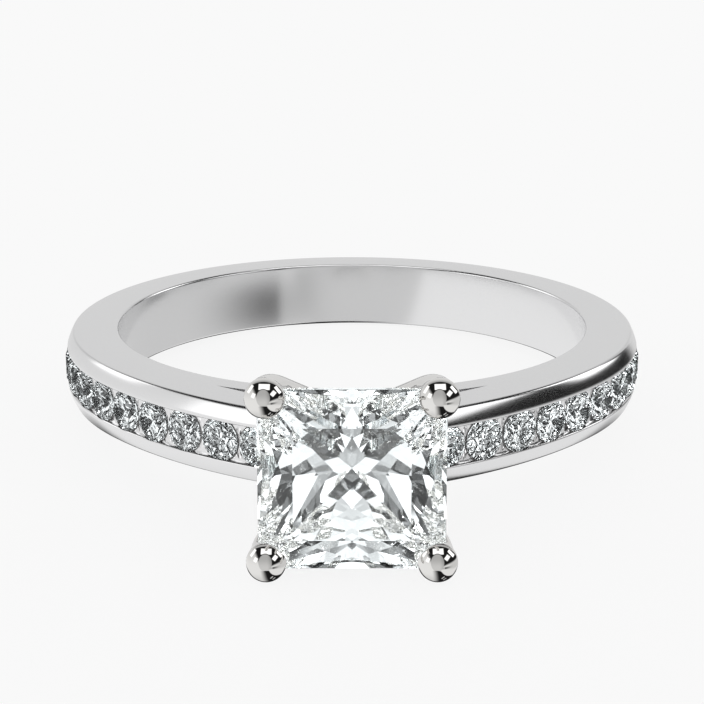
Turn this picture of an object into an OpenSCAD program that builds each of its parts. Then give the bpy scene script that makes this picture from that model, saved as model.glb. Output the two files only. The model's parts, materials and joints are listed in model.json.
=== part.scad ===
// Channel-set engagement ring lying on its side, millimetres, +Z up.
// Ring axes: the finger hole runs along Z and the head points to -Y.
// The ring leans on its two lower claw tips and on the back rim of the band,
// so every piece is turned into that rest pose at the very end.
// The origin is the middle of the ring's box, on the surface that it lies on.

/* [Band] */
// Radius of the finger hole
finger_r = 8.25; // [8.15:0.05:8.35]
// Width of the band along the finger
band_w = 2.4; // [2.3:0.05:2.5]
// Wall at the back of the band, measured at its side faces
back_wall = 1.33; // [1.2:0.01:1.4]
// Distance from the finger hole's centre to the outline's centre, towards the head
outline_shift = 0.21; // [0.15:0.01:0.25]
// How far the domed outer face stands above its two edges
dome_rise = 0.32; // [0.28:0.01:0.36]
// Broken edge along the outer face
edge_break = 0.08; // [0.05:0.01:0.1]
// Broken edge along the finger hole
finger_break = 0.08; // [0.05:0.01:0.1]

/* [Shoulders] */
// Angle from the head at which the shoulders leave the round outline
shoulder_angle = 54; // [53:0.5:55]
// Radius of the shoulders' outline
shoulder_r = 15; // [14.8:0.1:15.4]
// Angle about the shoulder's own centre where it ends at the head
shoulder_end_angle = 22; // [21:0.5:23]
// Wall of the finger rail under the head
rail_wall = 0.8; // [0.75:0.01:0.85]
// Half the length of the opening under the head, from side to side
window_x = 4.3; // [4.1:0.05:4.4]
// Half the distance between the shoulders' ends
shoulder_end_x = 1.68; // [1.6:0.02:1.74]
// Height of the shoulders' underside at their ends, from the finger hole's centre
shoulder_end_y = 9.93; // [9.8:0.01:10]

/* [Channel] */
// Channel stones on each side of the head
stones_per_side = 10; // [8:1:10]
// Diameter of a channel stone
stone_d = 1.38; // [1.3:0.01:1.39]
// Distance between stones along the outline
stone_pitch = 1.44; // [1.42:0.01:1.45]
// Angle from the head of the last stone on each side
last_stone_angle = 90; // [88:0.5:92]
// Width between the two rails
channel_w = 1.22; // [1.18:0.01:1.26]
// Depth of the seat below the rails' inner edges
seat_depth = 0.2; // [0.18:0.01:0.22]

/* [Main stone] */
// Side of the square stone at its girdle
main_w = 5.55; // [5.45:0.05:5.6]
// Side of its table
main_table = 3.46; // [3.3:0.02:3.6]
// Height of its crown
main_crown = 0.45; // [0.42:0.01:0.5]
// Thickness of its girdle
main_girdle = 0.16; // [0.12:0.01:0.2]
// Depth of its pavilion
main_pavilion = 3.2; // [3.1:0.05:3.25]
// Distance from the finger hole's centre to the middle of the girdle
main_height = 13.4; // [13.35:0.01:13.45]

/* [Head] */
// Radius of the ball at a claw's tip
tip_r = 0.6; // [0.56:0.01:0.62]
// Distance of a tip's centre from the stone's axis, along the band and across it
tip_off = 2.54; // [2.5:0.01:2.58]
// Distance of a tip's centre from the finger hole's centre
tip_y = 13.57; // [13.54:0.01:13.6]
// Radius of the swelling where a claw bends under the stone
knee_r = 0.585; // [0.575:0.005:0.595]
// Distance of the bend from the stone's axis, along the band and across it
knee_off = 2.43; // [2.4:0.01:2.46]
// Distance of the bend from the finger hole's centre
knee_y = 12.52; // [12.45:0.01:12.6]
// Radius of a claw's bar at the bend
claw_r = 0.56; // [0.54:0.005:0.565]
// Radius of a claw at its foot
foot_r = 0.38; // [0.35:0.01:0.4]
// Distance of a foot from the stone's axis, along the band and across it
foot_off = 0.74; // [0.7:0.01:0.76]
// Distance of a foot from the finger hole's centre
foot_y = 8.9; // [8.85:0.01:8.95]
// Radius of the bars of the gallery rail
gallery_r = 0.27; // [0.22:0.01:0.28]
// Distance of the gallery rail from the finger hole's centre
gallery_y = 10.9; // [10.85:0.01:10.95]

/* [Hidden] */
// Clearance between a stone and its metal
gap = 0.03;
over = 1;

// Outline of the band's side faces: a round back and two flatter shoulders
outline_r = finger_r + back_wall + outline_shift;
outline_c = [0, -outline_shift];
shoulder_c = outline_c + (outline_r - shoulder_r) * heading(shoulder_angle);
// Depth of the swept section, which ends inside the finger hole
section_depth = 2;
rail_r = finger_r + rail_wall;
back_edge = outline_r - outline_shift;
half_w = band_w / 2;
dome_r = (dome_rise * dome_rise + half_w * half_w) / (2 * dome_rise);

// Levels at a channel stone, measured outwards from the outline
rail_edge = dome_rise - dome_r + sqrt(dome_r * dome_r - channel_w * channel_w / 4);
seat_level = rail_edge - seat_depth;

// Round brilliant, as shares of its diameter or in degrees
brilliant_table = 0.57;
brilliant_girdle = 0.03;
brilliant_crown_angle = 34.5;
brilliant_pavilion_angle = 40.8;
brilliant_star_r = 0.80;
brilliant_lower_r = 0.23;
brilliant_mains = 8;

// Square brilliant: places on a side's centre line, as shares of the half side
star_out = 0.865;
star_drop = 0.5;
chevron_out = [0.82, 0.6, 0.38, 0.2];
chevron_depth = [0.25, 0.49, 0.69, 0.845];
chevrons = len(chevron_out);

// Gallery rail: half its side, where the claws pass
claw_share = (gallery_y - foot_y) / (knee_y - foot_y);
gallery_off = foot_off + (knee_off - foot_off) * claw_share;
gallery_end = gallery_off - 1.1 * gallery_r;

// Rest pose: the tips and the back rim touch the same flat surface
rim_y = back_edge - edge_break;
rest_reach = tip_y + rim_y;
rest_rise = tip_off - half_w;
rest_tilt = asin(tip_r / norm([rest_reach, rest_rise])) + atan2(rest_rise, rest_reach);
rest_lift = tip_r + tip_off * cos(rest_tilt) - tip_y * sin(rest_tilt);
front_reach = tip_y * cos(rest_tilt) + tip_off * sin(rest_tilt) + tip_r;
back_reach = (back_edge + dome_rise - dome_r) * cos(rest_tilt) + dome_r;
rest_shift = (front_reach - back_reach) / 2;

SIDES = [["left", -1], ["right", 1]];
STONE_NODES = [
    for (side = SIDES)
        for (i = [1 : stones_per_side])
            str("channel_stone_", side[0], "_", i)
];

// Unit vector in the ring's plane, at an angle from the head
function heading(angle) = [sin(angle), -cos(angle)];

// Arc length from the shoulder's start to a stone, negative towards the head
function station(i) =
    outline_r * (last_stone_angle - shoulder_angle) * PI / 180
    - stone_pitch * (stones_per_side - i);

// Angle of the outline's outward normal at a station
function station_angle(s) =
    shoulder_angle + s / (s < 0 ? shoulder_r : outline_r) * 180 / PI;

// Point of the outline at a station
function station_point(s) =
    s < 0
        ? shoulder_c + shoulder_r * heading(station_angle(s))
        : outline_c + outline_r * heading(station_angle(s));

// Points on a circle, in order
function circle_points(r, z, count, first = 0) = [
    for (i = [0 : count - 1])
        [r * cos(first + 360 * i / count), r * sin(first + 360 * i / count), z]
];

// Mirrors a piece to the left side where side is -1
module on_side(side) {
    if (side < 0)
        mirror([1, 0, 0])
            children();
    else
        children();
}

// Moves a stone's own frame, its table along +Z, to a station of the outline
module place_station(i, side) {
    s = station(i);
    point = station_point(s);
    translate([side * point[0], point[1], 0])
        rotate([0, 0, side * station_angle(s)])
            rotate([90, 0, 0])
                children();
}

// Turns the finished ring from its own axes to the way it lies
module rest_pose() {
    translate([0, rest_shift, rest_lift])
        rotate([-rest_tilt, 0, 0])
            children();
}

// Cross-section of the band, radius along X, with a domed outer face
module band_section(edge_r) {
    root_r = edge_r - section_depth;
    break_z = half_w - edge_break;
    break_x = edge_r + dome_rise - dome_r + sqrt(dome_r * dome_r - break_z * break_z);
    run = break_x - edge_r + edge_break;
    shelf_x = edge_r - edge_break + 2 * run;
    shelf_z = half_w - 2 * edge_break;
    far_x = edge_r + dome_rise + over;
    intersection() {
        translate([edge_r + dome_rise - dome_r, 0])
            circle(r = dome_r, $fn = 96);
        polygon([
            [root_r, -half_w],
            [edge_r - edge_break, -half_w],
            [shelf_x, -shelf_z],
            [far_x, -shelf_z],
            [far_x, shelf_z],
            [shelf_x, shelf_z],
            [edge_r - edge_break, half_w],
            [root_r, half_w]
        ]);
    }
}

// Moves by a round vector and then by the small rest, so that six digits are enough for each
module place_exactly(vector) {
    whole = [for (x = vector) round(x * 100) / 100];
    translate(whole)
        translate(vector - whole)
            children();
}

// Round back of the band, with both sides up to the shoulders
module round_back() {
    translate(outline_c)
        rotate_extrude(angle = 360 - 2 * shoulder_angle, start = shoulder_angle - 90, $fn = 180)
            band_section(outline_r);
}

module shoulder() {
    sweep = shoulder_angle - shoulder_end_angle;
    place_exactly(shoulder_c)
        rotate_extrude(angle = sweep, start = shoulder_end_angle - 90, $fn = 180)
            band_section(shoulder_r);
}

// Open space under the head, between the finger rail and the shoulders
module head_window() {
    start_y = -sqrt(rail_r * rail_r - window_x * window_x);
    translate([0, 0, -half_w - over])
        linear_extrude(height = band_w + 2 * over)
            difference() {
                polygon([
                    [-window_x, start_y],
                    [-shoulder_end_x, -shoulder_end_y],
                    [-shoulder_end_x, -main_height],
                    [shoulder_end_x, -main_height],
                    [shoulder_end_x, -shoulder_end_y],
                    [window_x, start_y],
                    [0, -finger_r]
                ]);
                circle(r = rail_r, $fn = 180);
            }
}

module finger_rail() {
    cylinder(r = rail_r, h = band_w, center = true, $fn = 180);
}

// Finger hole, with its two broken edges
module finger_hole() {
    cylinder(r = finger_r, h = band_w + 2 * over, center = true, $fn = 180);
    for (turn = [0, 180])
        rotate([turn, 0, 0])
            translate([0, 0, half_w - finger_break])
                cylinder(
                    r1 = finger_r,
                    r2 = finger_r + 2 * finger_break,
                    h = 2 * finger_break,
                    $fn = 180
                );
}

// Channel between the rails at one stone, with a flat seat
module channel_cut() {
    length = stone_pitch * 1.15;
    translate([-length / 2, -channel_w / 2, seat_level])
        cube([length, channel_w, over]);
}

// Pocket under one stone: cone for the pavilion, groove for the girdle
module stone_pocket() {
    pocket_r = stone_d / 2 + gap;
    lip_r = channel_w / 2 - 0.01;
    girdle_top = seat_level + 2 * gap + brilliant_girdle * stone_d;
    lip_z = girdle_top + (pocket_r - lip_r) * tan(brilliant_crown_angle);
    depth = pocket_r * tan(brilliant_pavilion_angle) + gap;
    rotate_extrude($fn = 64)
        polygon([
            [0, seat_level - depth],
            [pocket_r, seat_level],
            [pocket_r, girdle_top],
            [lip_r, lip_z],
            [lip_r, seat_level + over],
            [0, seat_level + over]
        ]);
}

// Straight tapered bar between two points
module bar(from, to, r_from, r_to) {
    way = to - from;
    length = norm(way);
    translate(from)
        rotate([0, acos(way[2] / length), atan2(way[1], way[0])])
            cylinder(r1 = r_from, r2 = r_to, h = length, $fn = 48);
}

// One claw from its foot in the finger rail to its ball tip
module claw() {
    tip = [tip_off, -tip_y, tip_off];
    knee = [knee_off, -knee_y, knee_off];
    foot = [foot_off, -foot_y, foot_off];
    translate(tip)
        sphere(r = tip_r, $fn = 48);
    bar(knee, tip, claw_r, claw_r);
    translate(knee)
        sphere(r = knee_r, $fn = 48);
    bar(foot, knee, foot_r, claw_r);
}

// Square rail that ties the claws and the shoulders together under the stone
module gallery() {
    for (turn = [0 : 90 : 270])
        rotate([0, turn, 0])
            bar(
                [-gallery_end, -gallery_y, gallery_off],
                [gallery_end, -gallery_y, gallery_off],
                gallery_r,
                gallery_r
            );
}

// Round brilliant with its table along +Z and the girdle's lower edge at z = 0
module round_brilliant(d) {
    r = d / 2;
    n = brilliant_mains;
    step = 360 / n;
    girdle = brilliant_girdle * d;
    table_r = brilliant_table * r / cos(step / 2);
    star_r = brilliant_star_r * r;
    lower_r = brilliant_lower_r * r;
    crown_tan = tan(brilliant_crown_angle);
    pavilion_tan = tan(brilliant_pavilion_angle);
    table_z = girdle + (r - table_r) * crown_tan;
    star_z = girdle + (r - star_r * cos(step / 2)) * crown_tan;
    lower_z = -(r - lower_r * cos(step / 2)) * pavilion_tan;
    points = concat(
        circle_points(table_r, table_z, n),
        circle_points(star_r, star_z, n, step / 2),
        circle_points(r, girdle, 2 * n),
        circle_points(r, 0, 2 * n),
        circle_points(lower_r, lower_z, n, step / 2),
        [[0, 0, -r * pavilion_tan]]
    );
    star = n;
    upper = 2 * n;
    under = 4 * n;
    lower = 6 * n;
    culet = 7 * n;
    crown_faces = [
        for (i = [0 : n - 1])
            let (
                next = (i + 1) % n,
                prev = (i + n - 1) % n,
                g = 2 * i,
                mid = g + 1,
                g_next = 2 * next
            )
            each [
                [i, star + i, next],
                [i, star + prev, upper + g, star + i],
                [star + i, upper + g, upper + mid],
                [star + i, upper + mid, upper + g_next]
            ]
    ];
    girdle_faces = [
        for (g = [0 : 2 * n - 1])
            let (next = (g + 1) % (2 * n))
            [upper + g, under + g, under + next, upper + next]
    ];
    pavilion_faces = [
        for (i = [0 : n - 1])
            let (
                next = (i + 1) % n,
                prev = (i + n - 1) % n,
                g = 2 * i,
                mid = g + 1,
                g_next = 2 * next
            )
            each [
                [under + g, lower + i, under + mid],
                [under + mid, lower + i, under + g_next],
                [under + g, lower + prev, culet, lower + i]
            ]
    ];
    table_face = [[for (i = [0 : n - 1]) i]];
    faces = concat(table_face, crown_faces, girdle_faces, pavilion_faces);
    polyhedron(
        points = points,
        faces = [for (face = faces) [for (k = [len(face) - 1 : -1 : 0]) face[k]]]
    );
}

// Square brilliant, table along +Z, the middle of its girdle at z = 0; grown by a margin
module square_brilliant(margin = 0) {
    half = main_w / 2 + margin;
    table = main_table / 2 + margin;
    edge = main_girdle / 2 + margin;
    crown_z = main_girdle / 2 + main_crown + margin;
    culet_z = -main_girdle / 2 - main_pavilion - margin;
    star_x = star_out * half;
    star_z = crown_z - star_drop * (crown_z - edge);
    side_points = [
        for (k = [0 : 3])
            let (c = cos(90 * k), s = sin(90 * k))
            each [
                [table * (c - s), table * (s + c), crown_z],
                [star_x * c, star_x * s, star_z],
                [half * (c - s), half * (s + c), edge],
                [half * c, half * s, edge],
                [half * (c - s), half * (s + c), -edge],
                [half * c, half * s, -edge],
                for (j = [0 : chevrons - 1])
                    [
                        chevron_out[j] * half * c,
                        chevron_out[j] * half * s,
                        -edge + chevron_depth[j] * (culet_z + edge)
                    ]
            ]
    ];
    count = 6 + chevrons;
    culet = 4 * count;
    // Names of a side's points: its corner is the one counter-clockwise of it
    side_faces = [
        for (k = [0 : 3])
            let (
                a = count * k,
                b = count * ((k + 3) % 4)
            )
            each [
                [b, a + 1, a],
                [a, a + 1, a + 2],
                [b, b + 2, a + 1],
                [a + 1, a + 3, a + 2],
                [a + 1, b + 2, a + 3],
                [a + 2, a + 3, a + 5, a + 4],
                [a + 3, b + 2, b + 4, a + 5],
                for (j = [0 : chevrons])
                    let (
                        upper = a + 5 + j,
                        lower = j < chevrons ? upper + 1 : culet
                    )
                    each [
                        [a + 4, upper, lower],
                        [upper, b + 4, lower]
                    ]
            ]
    ];
    table_face = [[for (k = [0 : 3]) count * k]];
    faces = concat(table_face, side_faces);
    polyhedron(
        points = concat(side_points, [[0, 0, culet_z]]),
        faces = [for (face = faces) [for (k = [len(face) - 1 : -1 : 0]) face[k]]]
    );
}

module place_main_stone() {
    translate([0, -main_height, 0])
        rotate([90, 0, 0])
            children();
}

// The soldered metal: band, rails and seats, gallery rail and four claws
module band_with_claws() {
    color("#d4d4d2")
        rest_pose()
            difference() {
                union() {
                    difference() {
                        union() {
                            round_back();
                            for (side = [-1, 1])
                                on_side(side)
                                    shoulder();
                        }
                        head_window();
                    }
                    finger_rail();
                    for (turn = [0 : 90 : 270])
                        rotate([0, turn, 0])
                            claw();
                    gallery();
                }
                finger_hole();
                for (side = [-1, 1])
                    for (i = [1 : stones_per_side])
                        place_station(i, side) {
                            channel_cut();
                            stone_pocket();
                        }
                place_main_stone()
                    square_brilliant(gap);
            }
}

module main_stone() {
    color("#eef2f4")
        rest_pose()
            place_main_stone()
                square_brilliant();
}

module channel_stone(i, side) {
    color("#dfe4e6")
        rest_pose()
            place_station(i, side)
                translate([0, 0, seat_level + gap])
                    round_brilliant(stone_d);
}

band_with_claws();
main_stone();
for (side = SIDES)
    for (i = [1 : stones_per_side])
        channel_stone(i, side[1]);
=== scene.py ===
"""A channel-set ring with a claw-set square stone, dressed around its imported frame."""

import json
import logging
import math
from dataclasses import dataclass, field
from enum import Enum
from typing import NamedTuple

import bmesh
import bpy
import numpy as np
from bpy.types import Material, Mesh, Node, NodeSocket, NodeTree, Object
from mathutils import Matrix, Vector


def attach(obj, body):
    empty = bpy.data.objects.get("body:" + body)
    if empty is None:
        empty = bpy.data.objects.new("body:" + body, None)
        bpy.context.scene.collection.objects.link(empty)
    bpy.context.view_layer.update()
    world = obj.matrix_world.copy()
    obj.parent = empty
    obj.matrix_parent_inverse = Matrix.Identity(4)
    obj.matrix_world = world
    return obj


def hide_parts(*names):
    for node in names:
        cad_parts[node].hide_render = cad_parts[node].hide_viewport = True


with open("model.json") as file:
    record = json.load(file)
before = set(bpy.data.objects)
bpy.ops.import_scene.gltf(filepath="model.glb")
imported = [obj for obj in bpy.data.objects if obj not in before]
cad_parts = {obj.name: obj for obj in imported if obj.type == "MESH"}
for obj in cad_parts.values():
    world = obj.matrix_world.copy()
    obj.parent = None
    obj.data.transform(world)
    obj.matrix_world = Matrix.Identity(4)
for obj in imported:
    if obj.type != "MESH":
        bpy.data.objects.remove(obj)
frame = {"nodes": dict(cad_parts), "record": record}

LOG = logging.getLogger("ring")
MM = 0.001
WHOLE_BODY = "root"

Pair = tuple[float, float]
Point = tuple[float, float, float]
Colour = tuple[float, float, float, float]


class Slot(Enum):
    """The record's material slots."""

    METAL = "white_gold"
    MAIN = "diamond"
    CHANNEL = "channel_diamond"


# Ring axes and outline


@dataclass(frozen=True)
class RingAxes:
    """The ring's own axes in millimetres: the finger hole along Z and the head towards -Y."""

    centre: Vector
    tilt: float

    @classmethod
    def from_record(cls, record: dict) -> "RingAxes":
        """Reads the axes from the finger hole's mount.

        Args:
            record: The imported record.

        Returns:
            The ring axes as they lie in the frame.
        """
        mount = next(m for m in record["mounts"] if m["name"] == "finger_hole")
        axis = Vector(mount["axis"])
        return cls(Vector(mount["pos_m"]), math.atan2(axis.y, axis.z))

    def matrix(self) -> Matrix:
        """Matrix from ring axes in millimetres to the frame in metres."""
        turn = Matrix.Rotation(-self.tilt, 4, "X")
        return Matrix.Translation(self.centre) @ turn @ Matrix.Scale(MM, 4)

    def direction(self, vector: Vector) -> Vector:
        """A direction in ring axes, turned into the frame."""
        return Matrix.Rotation(-self.tilt, 3, "X") @ vector


@dataclass(frozen=True)
class Outline:
    """Side view of the band: a round back and two flatter shoulders, tangent where they meet.

    A station is the distance along the right half, zero where the shoulder starts, negative
    towards the head. The left half is its mirror image.
    """

    finger_r: float = 8.25
    back_wall: float = 1.33
    shift: float = 0.21
    shoulder_deg: float = 54.0
    shoulder_r: float = 15.0
    end_x: float = 1.68
    end_y: float = 9.93
    window_x: float = 4.3
    rail_r: float = 9.05

    @property
    def back_r(self) -> float:
        """Radius of the round back's outline."""
        return self.finger_r + self.back_wall + self.shift

    @property
    def back_c(self) -> np.ndarray:
        """Centre of the round back's outline."""
        return np.array([0.0, -self.shift])

    @property
    def shoulder_c(self) -> np.ndarray:
        """Centre of the right shoulder's outline."""
        return self.back_c + (self.back_r - self.shoulder_r) * self.heading(self.shoulder_deg)

    @property
    def middle(self) -> float:
        """Station of the middle of the back."""
        return self.back_r * (math.pi - math.radians(self.shoulder_deg))

    @property
    def fork_point(self) -> np.ndarray:
        """Where the opening under the head starts, on the finger rail."""
        return np.array([self.window_x, -math.sqrt(self.rail_r**2 - self.window_x**2)])

    @property
    def end_point(self) -> np.ndarray:
        """Lower corner of the shoulder's end."""
        return np.array([self.end_x, -self.end_y])

    @staticmethod
    def heading(angle: float) -> np.ndarray:
        """Unit vector at an angle in degrees from the head."""
        turn = math.radians(angle)
        return np.array([math.sin(turn), -math.cos(turn)])

    def arc(self, station: float) -> tuple[np.ndarray, float]:
        """Centre and radius of the outline's arc at a station.

        Args:
            station: The station.

        Returns:
            The centre and the radius.
        """
        if station < 0:
            return self.shoulder_c, self.shoulder_r
        return self.back_c, self.back_r

    def angle(self, station: float) -> float:
        """Angle in degrees of the outward normal at a station."""
        return self.shoulder_deg + math.degrees(station / self.arc(station)[1])

    def station_of(self, point: np.ndarray) -> float:
        """Station of the shoulder's section that passes through a point.

        Args:
            point: The point in ring axes.

        Returns:
            The station.
        """
        ray = point - self.shoulder_c
        angle = math.degrees(math.atan2(ray[0], -ray[1]))
        return math.radians(angle - self.shoulder_deg) * self.shoulder_r

    def depth_on_circle(self, station: float, radius: float) -> float:
        """Height over the outline where a section meets a circle round the finger hole.

        Args:
            station: The section's station.
            radius: Radius of the circle.

        Returns:
            The height, which is negative inside the outline.
        """
        centre, arc_r = self.arc(station)
        way = self.heading(self.angle(station))
        along = float(centre @ way)
        reach = -along + math.sqrt(along**2 - float(centre @ centre) + radius**2)
        return reach - arc_r

    def depth_on_underside(self, station: float) -> float:
        """Height over the outline where a section meets the shoulder's straight underside.

        Args:
            station: The section's station.

        Returns:
            The height, which is negative inside the outline.
        """
        centre, arc_r = self.arc(station)
        way = self.heading(self.angle(station))
        along = self.end_point - self.fork_point
        start = self.fork_point - centre
        reach = (start[0] * along[1] - start[1] * along[0]) / (way[0] * along[1] - way[1] * along[0])
        return reach - arc_r


@dataclass(frozen=True)
class Channel:
    """The row of round stones in each shoulder, and the channel that holds it."""

    per_side: int = 10
    stone_d: float = 1.38
    pitch: float = 1.44
    last_deg: float = 90.0
    width: float = 1.22
    seat_depth: float = 0.2
    gap: float = 0.03
    overrun: float = 0.575
    girdle: float = 0.03
    crown_deg: float = 34.5
    pavilion_deg: float = 40.8
    lip: float = 0.06

    def stations(self, outline: Outline) -> list[float]:
        """Stations of the stones of one side, the one next to the head first."""
        last = outline.back_r * math.radians(self.last_deg - outline.shoulder_deg)
        return [last - self.pitch * (self.per_side - i) for i in range(1, self.per_side + 1)]

    def start(self, outline: Outline) -> float:
        """Station where the channel starts, next to the head."""
        return self.stations(outline)[0] - self.overrun * self.pitch

    def stop(self, outline: Outline) -> float:
        """Station where the channel ends."""
        return self.stations(outline)[-1] + self.overrun * self.pitch


def rounded(centre: Pair, radius: float, turns: np.ndarray) -> list[Pair]:
    """Points (height, z) of a round edge at some turns."""
    height, z = centre
    return [(height + radius * math.cos(t), z + radius * math.sin(t)) for t in turns]


@dataclass(frozen=True)
class Section:
    """Cross-section of the band, with a domed outer face and rounded edges."""

    width: float = 2.4
    dome_rise: float = 0.32
    outer_edge: float = 0.14
    inner_edge: float = 0.1
    edge_steps: int = 8
    dome_steps: int = 6
    lip_steps: int = 5

    @property
    def half(self) -> float:
        """Half the width of the band."""
        return self.width / 2

    @property
    def dome_r(self) -> float:
        """Radius of the domed face across the band."""
        return (self.dome_rise**2 + self.half**2) / (2 * self.dome_rise)

    def dome(self, z: float) -> float:
        """Height of the domed face over the outline."""
        return self.dome_rise - self.dome_r + math.sqrt(self.dome_r**2 - z**2)

    def under_dome(self, radius: float, z: float) -> tuple[Pair, float]:
        """Centre of a round that touches the dome from within, and the turn where it does."""
        rise = math.sqrt((self.dome_r - radius) ** 2 - z**2)
        return (self.dome_rise - self.dome_r + rise, z), math.atan2(z, rise)

    def seat_level(self, channel: Channel) -> float:
        """Height of the seats over the outline."""
        return self.dome(channel.width / 2) - channel.seat_depth

    def upper_rail(self, channel: Channel) -> list[Pair]:
        """Points (height, z) from the side face over the rail to the channel's wall.

        Args:
            channel: The channel between the rails.

        Returns:
            The rounded outer edge, the dome and the rounded lip, ending on the wall.
        """
        centre, turn = self.under_dome(self.outer_edge, self.half - self.outer_edge)
        turns = np.linspace(math.pi / 2, turn, self.edge_steps + 1)
        points = rounded(centre, self.outer_edge, turns)
        lip, turn = self.under_dome(channel.lip, channel.width / 2 + channel.lip)
        last_z = lip[1] + channel.lip * math.sin(turn)
        for z in np.linspace(points[-1][1], last_z, self.dome_steps + 1)[1:]:
            points.append((self.dome(z), float(z)))
        turns = np.linspace(turn, -math.pi / 2, self.lip_steps + 1)[1:]
        return points + rounded(lip, channel.lip, turns)


# Mesh help


def mesh_object(name: str, data: Mesh) -> Object:
    """Links a new object for a mesh to the scene.

    Args:
        name: The object's name.
        data: Its mesh.

    Returns:
        The new object.
    """
    made = bpy.data.objects.new(name, data)
    bpy.context.scene.collection.objects.link(made)
    return made


def baked(source: Object, name: str) -> Object:
    """Replaces an object with modifiers by a plain mesh of what they make.

    Args:
        source: The object with its modifiers, which is removed.
        name: Name of the new object.

    Returns:
        The plain object.
    """
    graph = bpy.context.evaluated_depsgraph_get()
    data = bpy.data.meshes.new_from_object(source.evaluated_get(graph), depsgraph=graph)
    bpy.data.objects.remove(source)
    data.name = name
    return mesh_object(name, data)


def clean_mesh(data: Mesh, merge: float) -> None:
    """Merges doubled points, drops faces without area and turns faces outwards.

    Args:
        data: The mesh.
        merge: Distance below which points are one.
    """
    work = bmesh.new()
    work.from_mesh(data)
    bmesh.ops.remove_doubles(work, verts=work.verts, dist=merge)
    bmesh.ops.dissolve_degenerate(work, edges=work.edges, dist=merge)
    bmesh.ops.recalc_face_normals(work, faces=work.faces)
    work.to_mesh(data)
    work.free()


def sharpen(data: Mesh, angle: float) -> None:
    """Shades a mesh smooth, apart from edges that turn by more than an angle in degrees."""
    data.polygons.foreach_set("use_smooth", [True] * len(data.polygons))
    data.set_sharp_from_angle(angle=math.radians(angle))


# Node help


class Nodes:
    """A node tree that is built from top to bottom."""

    def __init__(self, tree: NodeTree) -> None:
        """Empties the tree."""
        self.tree = tree
        tree.nodes.clear()

    def node(self, kind: str, sockets: dict | None = None, **settings: object) -> Node:
        """Adds a node.

        Args:
            kind: The node's type.
            sockets: Values or links of its inputs, by name or by number.
            settings: Properties to set before its sockets.

        Returns:
            The new node.
        """
        made = self.tree.nodes.new(kind)
        for key, value in settings.items():
            setattr(made, key, value)
        for key, value in (sockets or {}).items():
            self.put(made.inputs[key], value)
        return made

    def put(self, socket: NodeSocket, value: object) -> None:
        """Links or sets one input.

        Args:
            socket: The input.
            value: A value or socket to link, or what it is set to.
        """
        if isinstance(value, (Value, NodeSocket)):
            self.tree.links.new(getattr(value, "socket", value), socket)
        else:
            socket.default_value = value


class Repeat(Nodes):
    """A geometry node tree with named inputs."""

    def __init__(self, name: str) -> None:
        """Starts the tree with a geometry input and a geometry output.

        Args:
            name: The tree's name.
        """
        super().__init__(bpy.data.node_groups.new(name, "GeometryNodeTree"))
        self.names: dict[str, str] = {}
        self.entry = self.node("NodeGroupInput")
        self.exit = self.node("NodeGroupOutput")
        self.base = self.named("Geometry", "NodeSocketGeometry")
        self.tree.interface.new_socket(
            "Geometry", in_out="OUTPUT", socket_type="NodeSocketGeometry"
        )

    def named(self, name: str, kind: str = "NodeSocketFloat") -> NodeSocket:
        """Adds a named input and returns its socket.

        Args:
            name: The input's name.
            kind: Its socket type.

        Returns:
            The socket inside the tree.
        """
        item = self.tree.interface.new_socket(name, in_out="INPUT", socket_type=kind)
        self.names[name] = item.identifier
        return self.entry.outputs[name]

    def place(
        self,
        points: NodeSocket,
        piece: NodeSocket,
        euler: NodeSocket,
        material: Material,
    ) -> None:
        """Puts a piece on every point, and ends in Realize Instances and Set Material.

        Args:
            points: The points.
            piece: The piece that is repeated.
            euler: How it is turned at each point.
            material: The material of the result.
        """
        turn = self.node("FunctionNodeEulerToRotation", {0: euler})
        row = self.node(
            "GeometryNodeInstanceOnPoints",
            {"Points": points, "Instance": piece, "Rotation": turn.outputs[0]},
        )
        real = self.node("GeometryNodeRealizeInstances", {0: row.outputs[0]})
        dressed = self.node(
            "GeometryNodeSetMaterial", {"Geometry": real.outputs[0], "Material": material}
        )
        self.put(self.exit.inputs[0], dressed.outputs[0])

    def apply(self, path: Object, name: str, sizes: dict[str, object]) -> Object:
        """Runs the tree on an object and keeps the result as a plain mesh.

        Args:
            path: The object that carries the path or points.
            name: Name of the finished object.
            sizes: Values of the named inputs.

        Returns:
            The finished object.
        """
        modifier = path.modifiers.new(name, "NODES")
        modifier.node_group = self.tree
        for key, value in sizes.items():
            modifier[self.names[key]] = value
        return baked(path, name)


class Value:
    """A shader socket that works in Python expressions."""

    def __init__(self, shader: "Shader", socket: NodeSocket) -> None:
        """Wraps one output socket of a shader's tree."""
        self.shader = shader
        self.socket = socket

    def __add__(self, other: object) -> "Value":
        """Sum."""
        return self.shader.math("ADD", self, other)

    __radd__ = __add__

    def __sub__(self, other: object) -> "Value":
        """Difference."""
        return self.shader.math("SUBTRACT", self, other)

    def __rsub__(self, other: object) -> "Value":
        """Difference from a number."""
        return self.shader.math("SUBTRACT", other, self)

    def __mul__(self, other: object) -> "Value":
        """Product."""
        return self.shader.math("MULTIPLY", self, other)

    __rmul__ = __mul__

    def __truediv__(self, other: object) -> "Value":
        """Quotient."""
        return self.shader.math("DIVIDE", self, other)

    def __neg__(self) -> "Value":
        """Opposite."""
        return self.shader.math("MULTIPLY", self, -1.0)

    def __abs__(self) -> "Value":
        """Size without the sign."""
        return self.shader.math("ABSOLUTE", self)


class Ramp(NamedTuple):
    """A soft step: its middle and half its width."""

    edge: float
    soft: float


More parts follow.
